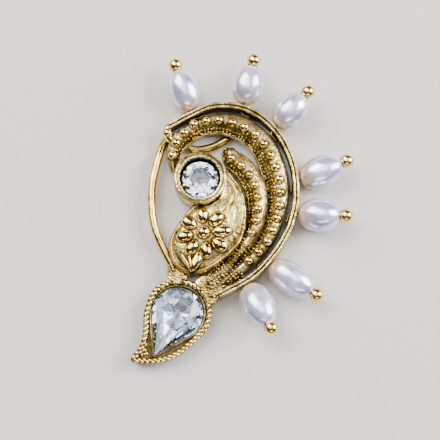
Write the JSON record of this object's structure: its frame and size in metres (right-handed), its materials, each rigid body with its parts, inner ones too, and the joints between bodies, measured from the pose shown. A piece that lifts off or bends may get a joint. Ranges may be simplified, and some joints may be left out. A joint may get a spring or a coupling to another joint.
{
  "type": "nath nose ring",
  "caption": "Traditional nath nose ring: a beaded gold crescent and paisley with a round stone, a pear-shaped stone drop and wired pearls round the rim.",
  "frame": {"origin": "below the middle of the whole jewel, on the plane that it lies on", "axes": "+Z out of the face of the jewel, +Y from the drop to the top of the rim, +X towards the pearls"},
  "size_m": [0.0294, 0.0414, 0.0054],
  "materials": {
    "gold": "polished, darkened in the hollows",
    "pearl": "pearly gloss",
    "crystal": "cut and foil-backed"
  },
  "bodies": {
    "root": {"frame": "gold", "round_stone": "crystal", "pear_stone": "crystal", "pearl_1": "pearl", "pin_1": "gold", "pearl_2": "pearl", "pin_2": "gold", "pearl_3": "pearl", "pin_3": "gold", "pearl_4": "pearl", "pin_4": "gold", "pearl_5": "pearl", "pin_5": "gold", "pearl_6": "pearl", "pin_6": "gold", "pearl_7": "pearl", "pin_7": "gold"}
  },
  "joints": []
}
